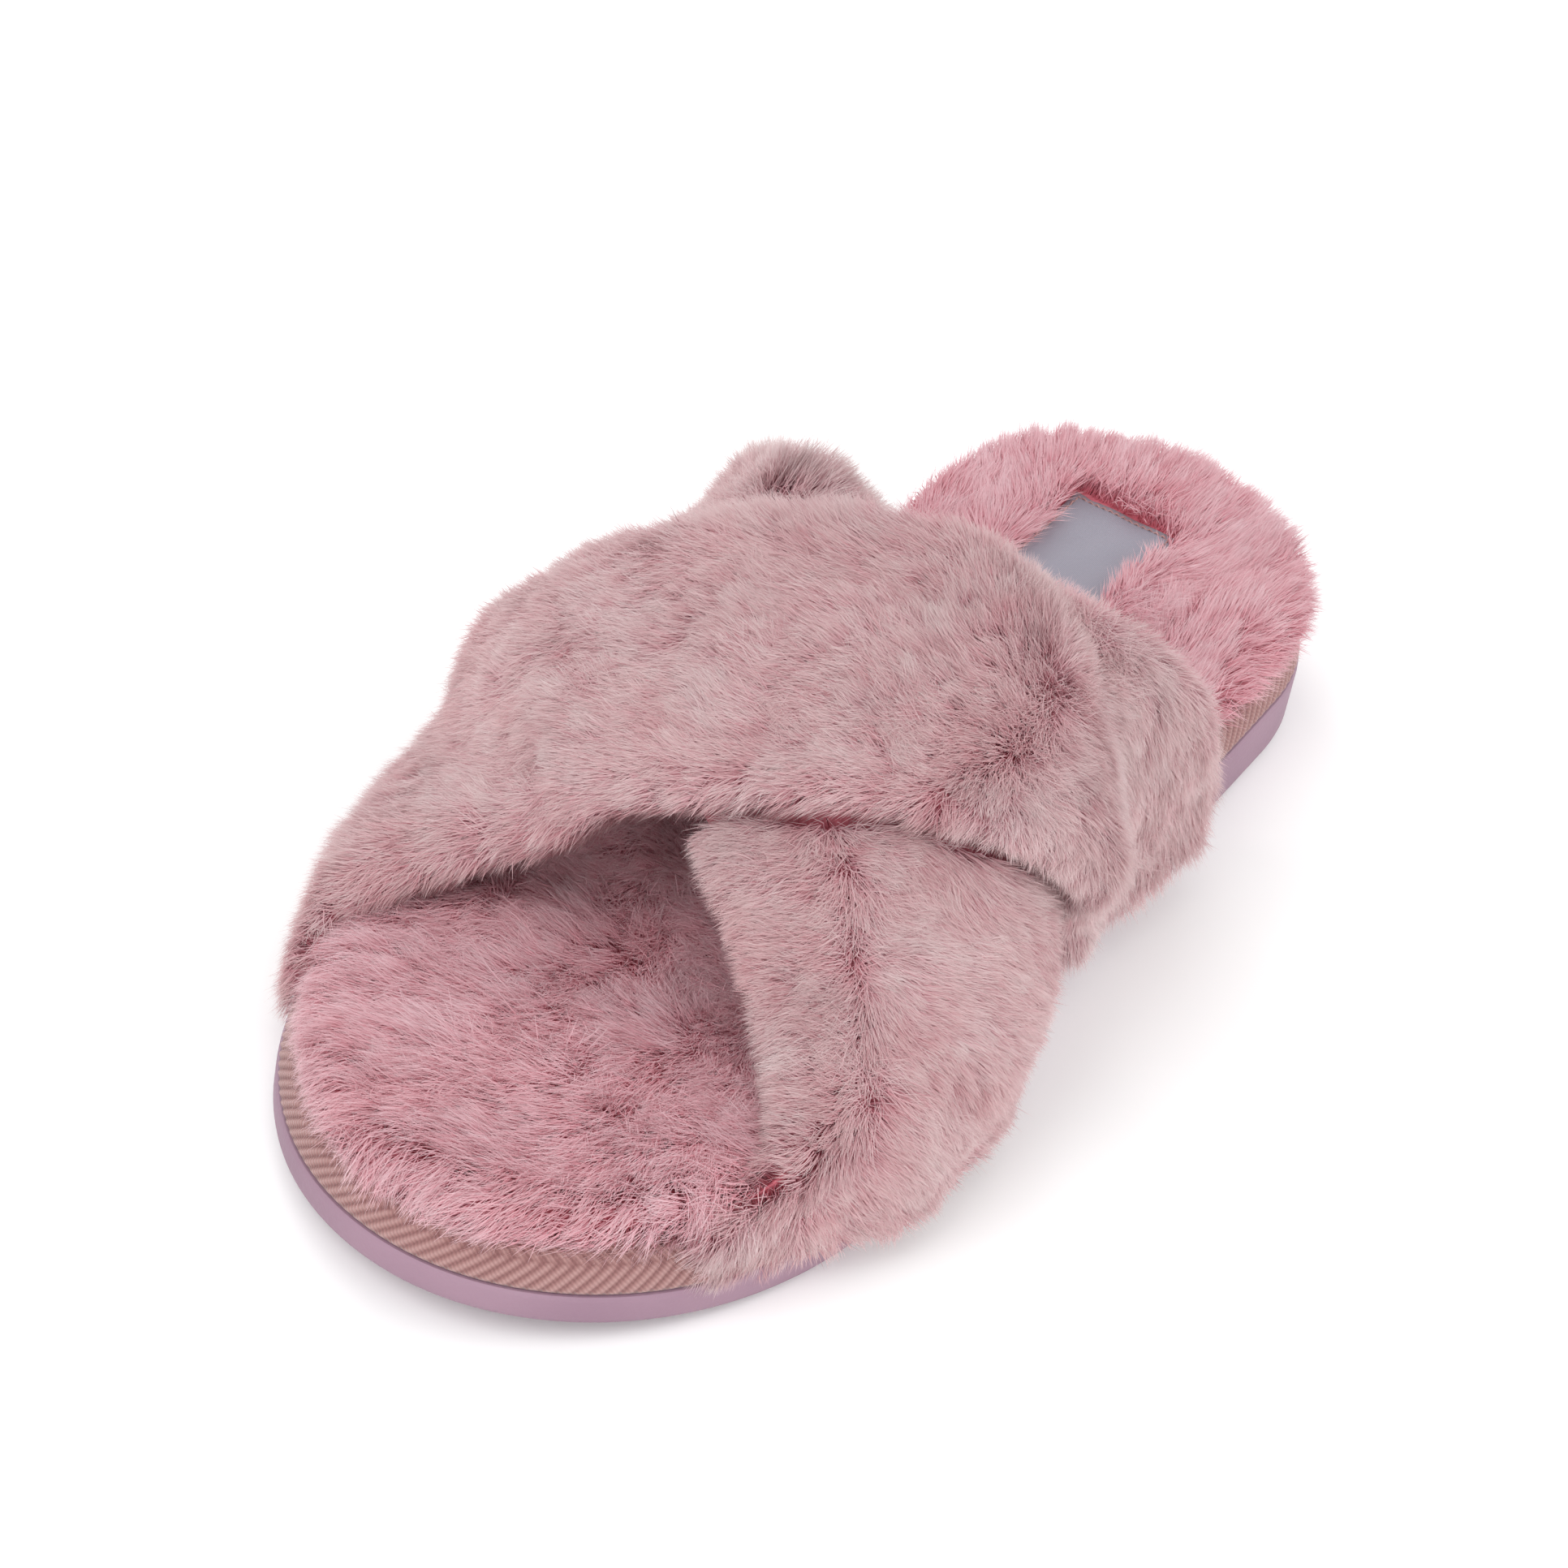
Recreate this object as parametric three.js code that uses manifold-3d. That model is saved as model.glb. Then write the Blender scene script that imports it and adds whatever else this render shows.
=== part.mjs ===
// Fluffy cross-band house slipper, left foot, EU 38/39. Millimetres, toe towards -Y, heel towards +Y, floor at z = 0.
import * as THREE from "three";
import { ParametricGeometry } from "three/addons/geometries/ParametricGeometry.js";
import { mergeVertices } from "three/addons/utils/BufferGeometryUtils.js";
import Module from "manifold-3d";

const wasm = await Module();
wasm.setup();

// ---- driving dimensions -------------------------------------------------
const SOLE_LENGTH = 255;
const FOREFOOT_LEFT = 54.5, FOREFOOT_RIGHT = 47.5; // widest half widths at the ball
const WAIST = 38.5, HEEL_LEFT = 37, HEEL_RIGHT = 38;
const SOLE_TOE_THICKNESS = 6, SOLE_HEEL_THICKNESS = 12;
const TOE_SPRING = 5.5, TOE_SPRING_FROM = -70; // lift of the toe tip, and where it starts
const GROOVE_WIDTH = 2.4, GROOVE_DEPTH = 1.5; // tread
const GAP = 0.3; // clearance between neighbouring pieces
const BOARD = 1.5, FOAM = 3.3, PILE_TOP = 15; // above the outsole: board, cushion, top of the insole pile
const TAPE_HEIGHT = 7.6, TAPE_WIDTH = 8, TAPE = 1.2;
// Inside of the bands, a foot shape: crest height at stations along the foot.
const FORM_STATIONS = [-100, -60, -25, 15, 55];
const FORM_HEIGHTS = [22, 38, 61, 71, 75];
const FORM_BASE = 8.6; // where the bands leave the side of the footbed, above the outsole
// Edges of each band: y at its left end, y at its right end, forward bow at the crest.
const UPPER = { front: [-92, -2, 4], rear: [-41, 52, 5] };
const LOWER = { front: [-8, -101, -3], rear: [44, -27, 8] };
const LINING = 1.5, PAD = 2.4, BAND = 9.4; // band layers, and the whole band with its pile
const LIFT = 8.9; // the upper band rides this far off the form where it crosses the lower one
const PRESSED = 2.6; // pile of the lower band squeezed under the upper one
const LABEL_WIDTH = 21, LABEL_LENGTH = 34, LABEL_REAR = 104, LABEL_X = -4;

// ---- helpers --------------------------------------------------------------
const smooth = (k) => THREE.MathUtils.smoothstep(k, 0, 1);
const lerp = THREE.MathUtils.lerp;
const materials = {
  eva: new THREE.MeshStandardMaterial({ color: 0xc193bf, roughness: 0.6 }),
  tape: new THREE.MeshStandardMaterial({ color: 0xd6b09c, roughness: 0.9 }),
  pile: new THREE.MeshStandardMaterial({ color: 0xd29aa2, roughness: 1 }),
  lining: new THREE.MeshStandardMaterial({ color: 0xb9717c, roughness: 1 }),
  foam: new THREE.MeshStandardMaterial({ color: 0xe9dcc6, roughness: 1 }),
  board: new THREE.MeshStandardMaterial({ color: 0xb08d62, roughness: 0.95 }),
  thread: new THREE.MeshStandardMaterial({ color: 0xc98f97, roughness: 0.7 }),
  label: new THREE.MeshStandardMaterial({ color: 0xc9cdd8, roughness: 0.6 }),
};

// Merges the seams and poles of a lofted surface into one closed body facing out.
function closed(geometry) {
  const g = geometry.clone();
  g.deleteAttribute("normal");
  g.deleteAttribute("uv");
  const m = mergeVertices(g, 1e-3);
  const idx = m.index.array, keep = [];
  for (let i = 0; i < idx.length; i += 3) {
    const [a, b, c] = [idx[i], idx[i + 1], idx[i + 2]];
    if (a !== b && b !== c && c !== a) keep.push(a, b, c);
  }
  const p = m.attributes.position.array;
  let volume = 0;
  for (let i = 0; i < keep.length; i += 3) {
    const [a, b, c] = [keep[i] * 3, keep[i + 1] * 3, keep[i + 2] * 3];
    volume += p[a] * (p[b + 1] * p[c + 2] - p[b + 2] * p[c + 1]) - p[a + 1] * (p[b] * p[c + 2] - p[b + 2] * p[c]) + p[a + 2] * (p[b] * p[c + 1] - p[b + 1] * p[c]);
  }
  if (volume < 0) for (let i = 0; i < keep.length; i += 3) [keep[i + 1], keep[i + 2]] = [keep[i + 2], keep[i + 1]];
  m.setIndex(keep);
  return m;
}
const toManifold = (g) => new wasm.Manifold(new wasm.Mesh({ numProp: 3, vertProperties: g.attributes.position.array, triVerts: new Uint32Array(g.index.array) }));
function fromManifold(solid) {
  const m = solid.getMesh();
  const g = new THREE.BufferGeometry();
  g.setAttribute("position", new THREE.BufferAttribute(new Float32Array(m.vertProperties), 3));
  g.setIndex(new THREE.BufferAttribute(new Uint32Array(m.triVerts), 1));
  return g;
}
const largest = (solid) => solid.decompose().sort((a, b) => b.volume() - a.volume())[0];
const group = new THREE.Group();
function add(name, geometry, material) {
  const flat = geometry.index ? geometry.toNonIndexed() : geometry;
  flat.computeVertexNormals();
  const mesh = new THREE.Mesh(flat, materials[material]);
  mesh.name = name;
  group.add(mesh);
  return mesh;
}

// ---- sole outline -----------------------------------------------------------
const H = SOLE_LENGTH / 2;
const outline = new THREE.Shape();
outline.moveTo(-2, -H);
outline.bezierCurveTo(26, -H, FOREFOOT_RIGHT, -H + 36, FOREFOOT_RIGHT, -H + 72);
outline.bezierCurveTo(FOREFOOT_RIGHT, -H + 112, WAIST, -5, WAIST, 34);
outline.bezierCurveTo(WAIST, 56, HEEL_RIGHT + 0.6, 66, HEEL_RIGHT, H - 38);
outline.bezierCurveTo(HEEL_RIGHT - 1, H - 14, 18, H, 0, H);
outline.bezierCurveTo(-18, H, -HEEL_LEFT + 1, H - 14, -HEEL_LEFT, H - 38);
outline.bezierCurveTo(-HEEL_LEFT - 0.6, 66, -WAIST, 56, -WAIST, 34);
outline.bezierCurveTo(-WAIST, -5, -FOREFOOT_LEFT, -H + 112, -FOREFOOT_LEFT, -H + 70);
outline.bezierCurveTo(-FOREFOOT_LEFT, -H + 32, -30, -H, -2, -H);
const N = 720;
const loop = outline.getSpacedPoints(N).slice(0, N);
// Point on the outline moved inwards by `inset`; u runs once round from the toe tip.
function rim(u, inset) {
  const k = ((u % 1) + 1) % 1 * N, i = Math.floor(k) % N, f = k - Math.floor(k);
  const a = loop[i], b = loop[(i + 1) % N], p = loop[(i + N - 4) % N], q = loop[(i + 5) % N];
  const dx = q.x - p.x, dy = q.y - p.y, d = Math.hypot(dx, dy);
  return [lerp(a.x, b.x, f) - (dy / d) * inset, lerp(a.y, b.y, f) + (dx / d) * inset];
}
const leftSide = loop.filter((p) => p.x <= -2 || (p.x < 0 && p.y > 0)).sort((a, b) => a.y - b.y);
const rightSide = loop.filter((p) => p.x >= -2).sort((a, b) => a.y - b.y);
function halfWidth(side, y) {
  const s = side < 0 ? leftSide : rightSide;
  let i = s.findIndex((p) => p.y >= y);
  if (i <= 0) i = 1;
  const a = s[i - 1], b = s[i];
  return Math.abs(lerp(a.x, b.x, (y - a.y) / Math.max(b.y - a.y, 1e-6)));
}
const underside = (y) => TOE_SPRING * Math.max(0, (TOE_SPRING_FROM - y) / (H + TOE_SPRING_FROM)) ** 2;
const top = (y) => underside(y) + lerp(SOLE_TOE_THICKNESS, SOLE_HEEL_THICKNESS, smooth((y + H) / (SOLE_LENGTH * 0.95)));

// A body wrapped round the sole outline. profile: [inset, scale, z(y, x)] from bottom centre to top centre.
function onion(profile, around) {
  return closed(new ParametricGeometry((u, v, p) => {
    const [inset, scale, z] = profile[Math.round(v * (profile.length - 1))];
    const [x, y] = rim(u, inset);
    p.set(x * scale, y * scale, z(y * scale, x * scale));
  }, around, profile.length - 1));
}
const RINGS = [0.9, 0.74, 0.5, 0.25, 0];
const down = (inset, z) => [...RINGS].reverse().map((s) => [inset, s, z]);
const up = (inset, z) => RINGS.map((s) => [inset, s, z]);

// ---- outsole ---------------------------------------------------------------
const soleBody = onion([
  ...down(1.6, underside),
  [1.6, 1, underside], [0.5, 1, (y) => underside(y) + 0.5], [0, 1, (y) => underside(y) + 1.8],
  [0, 1, (y) => top(y) - 0.9], [0.7, 1, top],
  ...up(0.7, top),
], 48);
let sole = toManifold(soleBody);
for (const y of [-64, -54, -44, -34, -24, 58, 68, 78, 88, 98]) {
  const groove = new THREE.BoxGeometry(2 * (Math.min(halfWidth(-1, y), halfWidth(1, y)) - 8), GROOVE_WIDTH, 2 * GROOVE_DEPTH).translate(0, y, 0);
  sole = sole.subtract(toManifold(closed(groove)));
}
add("outsole", fromManifold(sole), "eva");

// ---- board and cushion --------------------------------------------------------
const z = (h) => (y) => top(y) + h;
const boardTop = GAP + BOARD, foamBottom = boardTop + 1.5 * GAP, foamTop = foamBottom + FOAM;
add("insole_board", onion([...down(2.5, z(GAP)), [2.5, 1, z(GAP)], [2.5, 1, z(boardTop)], ...up(2.5, z(boardTop))], 32), "board");
add("footbed_foam", onion([
  ...down(4.4, z(foamBottom)), [4.4, 1, z(foamBottom)], [4.4, 1, z(foamTop - 1.9)], [7, 1, z(foamTop)], ...up(7, z(foamTop)),
], 32), "foam");

// ---- herringbone edge tape, folded over the footbed edge -----------------------
const tapeProfile = [
  [0.5, GAP], [0.9, 2.2], [2.5, 5.1], [5.2, 7.0], [TAPE_WIDTH, TAPE_HEIGHT],
  [TAPE_WIDTH, TAPE_HEIGHT - TAPE], [5.8, 7.0 - TAPE], [3.6, 4.2], [2.1, 1.8], [1.9, GAP],
];
function ring(profile, around) {
  return closed(new ParametricGeometry((u, v, p) => {
    const [inset, h] = profile[Math.round(v * profile.length) % profile.length];
    const [x, y] = rim(u, inset);
    p.set(x, y, top(y) + h);
  }, around, profile.length));
}
add("edge_binding", ring(tapeProfile, 56), "tape");
add("binding_stitch", ring([[3.3, 6.35], [4.0, 6.85], [3.8, 7.3], [3.1, 6.8]], 56), "thread");

// ---- foot form the bands are shaped over -------------------------------------------
const crest = new THREE.CubicInterpolant(FORM_STATIONS, FORM_HEIGHTS, 1);
const SKIRT = 0.2; // parameter range of the straight part that hangs down beside the footbed
function form(t, y) {
  const yc = THREE.MathUtils.clamp(y, -112, 70);
  const h = crest.evaluate(THREE.MathUtils.clamp(yc, -100, 55))[0];
  const k = THREE.MathUtils.clamp((yc + 90) / 120, 0, 1);
  const ex = lerp(1.05, 0.82, k), ez = lerp(1.75, 0.87, k);
  const wl = halfWidth(-1, yc) + 0.4, wr = halfWidth(1, yc) + 1.2, a = (wl + wr) / 2, xc = (wr - wl) / 2;
  const base = top(yc) + FORM_BASE, tt = THREE.MathUtils.clamp(t, 0, Math.PI);
  const c = Math.cos(tt), s = Math.sin(tt);
  const hang = t < 0 ? -t / SKIRT : t > Math.PI ? (t - Math.PI) / SKIRT : 0;
  return new THREE.Vector3(xc - a * Math.sign(c) * Math.abs(c) ** ex, y, base + (h - base) * s ** ez - hang * (FORM_BASE - 1.2));
}
function formNormal(t, y) {
  const e = 0.09;
  const lo = Math.max(t - e, -SKIRT), hi = Math.min(t + e, Math.PI + SKIRT);
  const a = form(hi, y).sub(form(lo, y)), b = form(t, y + 2).sub(form(t, y - 2));
  return a.cross(b).normalize();
}
const edgeY = ([l, r, bow], t) => {
  const tt = THREE.MathUtils.clamp(t, 0, Math.PI);
  return lerp(l, r, tt / Math.PI) - bow * Math.sin(tt) ** 2;
};
const over = (band, t, y, margin) => smooth((y - edgeY(band.front, t) + margin) / (margin - 1)) * smooth((edgeY(band.rear, t) + margin - y) / (margin - 1));
// Point of a band: t across the foot, m mm back from its front edge (or forward of its rear edge when rear), off mm out from the form.
const slim = (t) => lerp(0.6, 1, smooth(Math.sin(THREE.MathUtils.clamp(t, 0, Math.PI)) / 0.45)); // the layers thin out at the sewn ends
function bandPoint(band, t, y, off) {
  const k = slim(t);
  let o = off * k;
  if (band === UPPER) o += LIFT * over(LOWER, t, y, 20);
  else if (off > LINING + PAD + 1) o -= PRESSED * over(UPPER, t, y, 9) * (off / BAND);
  return form(t, y).addScaledVector(formNormal(t, y), o);
}
const T0 = -SKIRT, T1 = Math.PI + SKIRT;
// A layer of a band. stations: pairs [[margin, off] outer, [margin, off] inner]; margin < 0 counts back from the rear edge.
function layer(band, stations, along, t0 = T0, t1 = T1, flip = 0) {
  const M = stations.length, n = 2 * M;
  const place = ([margin, off], t) => {
    const f = edgeY(band.front, t), r = edgeY(band.rear, t);
    const y = margin > 900 ? lerp(f, r, margin - 1000) : margin < 0 ? r + margin : f + margin;
    return bandPoint(band, t, y, off);
  };
  return closed(new ParametricGeometry((u, v, p) => {
    const i = Math.round(u * n) % n, j = Math.round(v * (along + 2));
    const t = lerp(t0, t1, THREE.MathUtils.clamp((j - 1) / along, 0, 1));
    const s = i < M ? i : n - 1 - i;
    if (j === 0 || j === along + 2) p.copy(place(stations[s][0], t)).add(place(stations[s][1], t)).multiplyScalar(0.5);
    else p.copy(place(stations[s][(i < M ? 0 : 1) ^ flip], t));
  }, n, along + 2));
}
const LIP = 3.2, padIn = LIP + 3 * GAP, padOff = LINING + GAP, faceOff = LINING + PAD + 3 * GAP;
const mid = [0.2, 0.35, 0.5, 0.65, 0.8].map((k) => 1000 + k);
const face = [
  [[1.0, 0], [LIP - 0.3, 0]], [[0, 2.2], [LIP - 0.2, 2.2]], [[0.2, 5.8], [LIP, 4]], [[2.2, 8.4], [LIP, faceOff]], [[6, BAND], [padIn + 2.2, faceOff]],
  ...mid.map((k) => [[k, BAND], [k, faceOff]]),
  [[-6, BAND], [-padIn - 2.2, faceOff]], [[-2.2, 8.4], [-LIP, faceOff]], [[-0.2, 5.8], [-LIP, 4]], [[-0.01, 2.2], [0.2 - LIP, 2.2]], [[-1.0, 0], [0.3 - LIP, 0]],
];
const sheet = (a, b, extra = []) => [padIn, ...extra, padIn + 2.2, ...mid, -padIn - 2.2, ...extra.map((k) => -k), -padIn].map((k) => [[k, b], [k, a]]);
const thread = (margin, a, b) => [[[margin, b], [margin, a]], [[margin + 1.2, b], [margin + 1.2, a]]];
const ALONG = 26, STEP = (T1 - T0) / ALONG; // rows along a band, shared by all its layers
for (const [name, band] of [["upper_band", UPPER], ["lower_band", LOWER]]) {
  add(name + "_fur", layer(band, face, ALONG), "pile");
  add(name + "_foam", layer(band, sheet(padOff, padOff + PAD), ALONG, T0, T1, 1), "foam");
  add(name + "_lining", layer(band, sheet(0, LINING, [padIn + 1]), ALONG), "lining");
  add(name + "_stitch_front", layer(band, thread(padIn + 1, -1.15, -0.65), ALONG - 8, T0 + 4 * STEP, T1 - 4 * STEP), "thread");
  add(name + "_stitch_rear", layer(band, thread(-padIn - 2.2, -1.15, -0.65), ALONG - 8, T0 + 4 * STEP, T1 - 4 * STEP), "thread");
}
// Rows of thread that hold each band end to the footbed edge, on the foot side.
function endSeam(band, t, dir) {
  return closed(new ParametricGeometry((u, v, p) => {
    const i = Math.round(u * 4) % 4, j = Math.round(v * 8), k = THREE.MathUtils.clamp((j - 1) / 6, 0, 1);
    const y = lerp(edgeY(band.front, t) + padIn + 4, edgeY(band.rear, t) - padIn - 4, k);
    const at = (c) => bandPoint(band, t + dir * (c === 0 || c === 3 ? 0 : 0.045), y, c < 2 ? -0.95 : -0.35);
    if (j === 0 || j === 8) p.copy(at(i)).add(at(3 - i)).multiplyScalar(0.5);
    else p.copy(at(i));
  }, 4, 8));
}
add("upper_band_seam_left", endSeam(UPPER, 0.12, 1), "thread");
add("upper_band_seam_right", endSeam(UPPER, Math.PI - 0.12, -1), "thread");
add("lower_band_seam_left", endSeam(LOWER, 0.12, 1), "thread");
add("lower_band_seam_right", endSeam(LOWER, Math.PI - 0.12, -1), "thread");

// ---- insole pile, pressed in where the bands and the label sit ------------------------
const insole = onion([
  ...down(8.8, z(foamTop + GAP)), [8.8, 1, z(foamTop + GAP)], [8.6, 1, z(TAPE_HEIGHT + 0.4)], [6.6, 1, z(TAPE_HEIGHT + 1.0)],
  [5.4, 1, z(PILE_TOP - 5)], [6.4, 1, z(PILE_TOP - 2.4)], [10, 1, z(PILE_TOP - 0.5)],
  [14, 1, z(PILE_TOP)], ...[0.8, 0.6, 0.4, 0.2, 0].map((s) => [14, s, z(PILE_TOP)]),
], 44);
let pile = toManifold(insole);
const reach = (band) => toManifold(layer(band, [1000 - 0.01, 1000 + 0.12, ...mid, 1000 + 0.88, 1000 + 1.01].map((k) => [[k, BAND + 3], [k, -1.4]]), 36));
pile = pile.subtract(reach(UPPER)).subtract(reach(LOWER));
const labelY = LABEL_REAR - LABEL_LENGTH / 2, labelZ = top(labelY) + PILE_TOP - 3;
pile = pile.subtract(toManifold(closed(new THREE.BoxGeometry(LABEL_WIDTH + 1.6, LABEL_LENGTH + 1.6, 12).translate(LABEL_X, labelY, labelZ + 6 - 0.4))));
add("insole_fur", fromManifold(largest(pile)), "pile");

// ---- size label and the four rows of thread round it ------------------------------------
add("size_label", new THREE.BoxGeometry(LABEL_WIDTH, LABEL_LENGTH, 0.6).translate(LABEL_X, labelY, labelZ + 0.3), "label");
const rowZ = labelZ + 0.6 + GAP + 0.25;
const row = (name, w, l, dx, dy) => add(name, new THREE.BoxGeometry(w, l, 0.5).translate(LABEL_X + dx, labelY + dy, rowZ), "thread");
row("label_stitch_front", LABEL_WIDTH - 6, 0.6, 0, -LABEL_LENGTH / 2 + 1.5);
row("label_stitch_rear", LABEL_WIDTH - 6, 0.6, 0, LABEL_LENGTH / 2 - 1.5);
row("label_stitch_left", 0.6, LABEL_LENGTH - 4, -LABEL_WIDTH / 2 + 1.5, 0);
row("label_stitch_right", 0.6, LABEL_LENGTH - 4, LABEL_WIDTH / 2 - 1.5, 0);

// Origin at the centre of the bounding box, on the floor.
group.updateMatrixWorld(true);
const box = new THREE.Box3().setFromObject(group), centre = box.getCenter(new THREE.Vector3());
for (const mesh of group.children) mesh.geometry.translate(-centre.x, -centre.y, -box.min.z);

export default group;
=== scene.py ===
import math
import bpy
import numpy as np
from mathutils import Matrix, Vector
from mathutils.kdtree import KDTree


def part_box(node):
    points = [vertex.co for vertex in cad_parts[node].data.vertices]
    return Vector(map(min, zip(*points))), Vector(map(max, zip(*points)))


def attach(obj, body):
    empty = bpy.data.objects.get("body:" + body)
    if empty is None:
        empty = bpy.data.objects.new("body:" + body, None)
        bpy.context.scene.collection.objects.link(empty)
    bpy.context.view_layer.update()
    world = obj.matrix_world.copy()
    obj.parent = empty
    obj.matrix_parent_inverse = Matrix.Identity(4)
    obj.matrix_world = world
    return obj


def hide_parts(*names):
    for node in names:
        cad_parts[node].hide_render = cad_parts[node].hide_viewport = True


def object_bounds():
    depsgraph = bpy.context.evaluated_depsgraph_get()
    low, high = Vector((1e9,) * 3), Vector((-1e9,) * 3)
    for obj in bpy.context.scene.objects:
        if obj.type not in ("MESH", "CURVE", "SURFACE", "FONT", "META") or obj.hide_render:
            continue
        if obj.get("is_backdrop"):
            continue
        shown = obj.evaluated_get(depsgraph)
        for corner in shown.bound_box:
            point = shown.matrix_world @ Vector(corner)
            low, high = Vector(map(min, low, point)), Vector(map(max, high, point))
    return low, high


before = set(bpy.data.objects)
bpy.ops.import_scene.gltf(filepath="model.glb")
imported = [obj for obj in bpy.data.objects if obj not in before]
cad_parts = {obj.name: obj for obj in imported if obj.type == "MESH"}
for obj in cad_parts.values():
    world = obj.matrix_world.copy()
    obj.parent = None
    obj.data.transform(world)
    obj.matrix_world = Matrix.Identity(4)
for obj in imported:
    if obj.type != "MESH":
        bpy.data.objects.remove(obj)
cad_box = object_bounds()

# Fluffy cross-band house slipper, left foot. Shapes are worked out in millimetres and placed in metres.
# Toe towards -Y, heel towards +Y, floor at z = 0.
MM = 0.001
rng = np.random.default_rng(38)

# ---- sizes of the slipper -----------------------------------------------------------
HALF = 127.5                                    # half the sole length
BALL_LEFT, BALL_RIGHT = 54.5, 47.5              # widest half widths
WAIST, HEEL_LEFT, HEEL_RIGHT = 38.5, 37.0, 38.0
TOE_THICK, HEEL_THICK, TOE_SPRING = 6.0, 12.0, 5.5
FORM_BASE, SKIRT = 8.6, 0.2                     # foot form above the sole; turn of the band ends below it
CREST_Y = np.array([-100.0, -60.0, -25.0, 15.0, 55.0])
CREST_Z = np.array([22.0, 38.0, 61.0, 71.0, 75.0])
UPPER = {"front": (-92, -2, 4), "rear": (-41, 52, 5)}       # y at the left end, at the right end, and bow
LOWER = {"front": (-8, -101, -3), "rear": (44, -27, 8)}
BAND, LIFT, PRESSED = 9.4, 8.9, 2.6             # band thickness, climb over the lower band, its flattening
LABEL_WIDTH, LABEL_LENGTH, LABEL_REAR, LABEL_X = 21.0, 34.0, 104.0, -4.0
PILE_TOP = 15.0                                 # pile of the insole above the sole
TUCK_UPPER, TUCK_LOWER, TUCK_SPAN = 4.5, 8.0, 0.75          # front corners go down inside the tape
PUFF = 4.5                                      # swell of the lower band behind the upper one
LOCK = 11                                       # tufts that clump into one lock of pile
RIB_PITCH = 2.5                                 # herringbone ribs along the tape
PER_TUFT, TUFT_SPREAD, FIBRE = 8, 0.75, 0.18    # fibres in a tuft, their scatter and width
INSOLE_TUFTS, UPPER_TUFTS, LOWER_TUFTS, PLUSH_TUFTS = 24700, 26000, 24700, 4200
INSOLE_PILE, BAND_PILE, PLUSH_PILE = 8.4, 7.8, 3.0          # fibre lengths

low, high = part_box("outsole")
SOLE_MIDDLE = (BALL_RIGHT - BALL_LEFT) / 2
SHIFT = np.array([(low[0] + high[0]) / 2 / MM - SOLE_MIDDLE, (low[1] + high[1]) / 2 / MM, 0.0])


# ---- small helpers ------------------------------------------------------------------
def smooth(k):
    k = np.clip(k, 0.0, 1.0)
    return k * k * (3 - 2 * k)


def lerp(a, b, k):
    return a + (b - a) * k


def unit(v):
    return v / np.maximum(np.linalg.norm(v, axis=-1, keepdims=True), 1e-9)


# Soft random field: a sum of waves, about -1 to 1, with lumps of the given size in mm.
def lumps(p, size, seed, waves=14):
    r = np.random.default_rng(seed)
    out = np.zeros(p.shape[:-1])
    for _ in range(waves):
        way = unit(r.normal(size=3)) * (2 * math.pi / size) * r.uniform(0.6, 1.4)
        out += np.sin(p @ way + r.uniform(0, 2 * math.pi))
    return out / math.sqrt(waves / 2)


# ---- outline of the sole -----------------------------------------------------------------
def outline_loop(count):
    h = HALF
    turns = [
        ((26, -h), (BALL_RIGHT, -h + 36), (BALL_RIGHT, -h + 72)),
        ((BALL_RIGHT, -h + 112), (WAIST, -5), (WAIST, 34)),
        ((WAIST, 56), (HEEL_RIGHT + 0.6, 66), (HEEL_RIGHT, h - 38)),
        ((HEEL_RIGHT - 1, h - 14), (18, h), (0, h)),
        ((-18, h), (-HEEL_LEFT + 1, h - 14), (-HEEL_LEFT, h - 38)),
        ((-HEEL_LEFT - 0.6, 66), (-WAIST, 56), (-WAIST, 34)),
        ((-WAIST, -5), (-BALL_LEFT, -h + 112), (-BALL_LEFT, -h + 70)),
        ((-BALL_LEFT, -h + 32), (-30, -h), (-2, -h)),
    ]
    start, points = np.array((-2.0, -h)), []
    for a, b, c in turns:
        a, b, c = (np.array(q, float) for q in (a, b, c))
        k = np.linspace(0, 1, 300, endpoint=False)[:, None]
        points.append((1 - k) ** 3 * start + 3 * (1 - k) ** 2 * k * a + 3 * (1 - k) * k * k * b + k ** 3 * c)
        start = c
    p = np.vstack(points + [points[0][:1]])
    run = np.concatenate([[0], np.cumsum(np.linalg.norm(np.diff(p, axis=0), axis=1))])
    at = np.linspace(0, run[-1], count, endpoint=False)
    return np.stack([np.interp(at, run, p[:, 0]), np.interp(at, run, p[:, 1])], axis=1), run[-1]


RIM_COUNT = 1440
rim_loop, RIM_LENGTH = outline_loop(RIM_COUNT)
ahead, behind = np.roll(rim_loop, -8, axis=0), np.roll(rim_loop, 8, axis=0)
rim_way = unit(ahead - behind)
rim_in = np.stack([-rim_way[:, 1], rim_way[:, 0]], axis=1)
left_side = rim_loop[(rim_loop[:, 0] <= -2) | ((rim_loop[:, 0] < 0) & (rim_loop[:, 1] > 0))]
left_side = left_side[np.argsort(left_side[:, 1])]
right_side = rim_loop[rim_loop[:, 0] >= -2]
right_side = right_side[np.argsort(right_side[:, 1])]


# Point on the outline moved inwards; u runs once round from the toe tip.
def rim(u, inset):
    k = np.mod(u, 1.0) * RIM_COUNT
    i = np.floor(k).astype(int) % RIM_COUNT
    j, f = (i + 1) % RIM_COUNT, (k - np.floor(k))[..., None]
    p = lerp(rim_loop[i], rim_loop[j], f)
    n = lerp(rim_in[i], rim_in[j], f)
    return p + n * np.asarray(inset)[..., None]


def half_width(side, y):
    s = left_side if side < 0 else right_side
    return np.abs(np.interp(y, s[:, 1], s[:, 0]))


def underside(y):
    return TOE_SPRING * np.maximum(0, (-70 - y) / (HALF - 70)) ** 2


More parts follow.
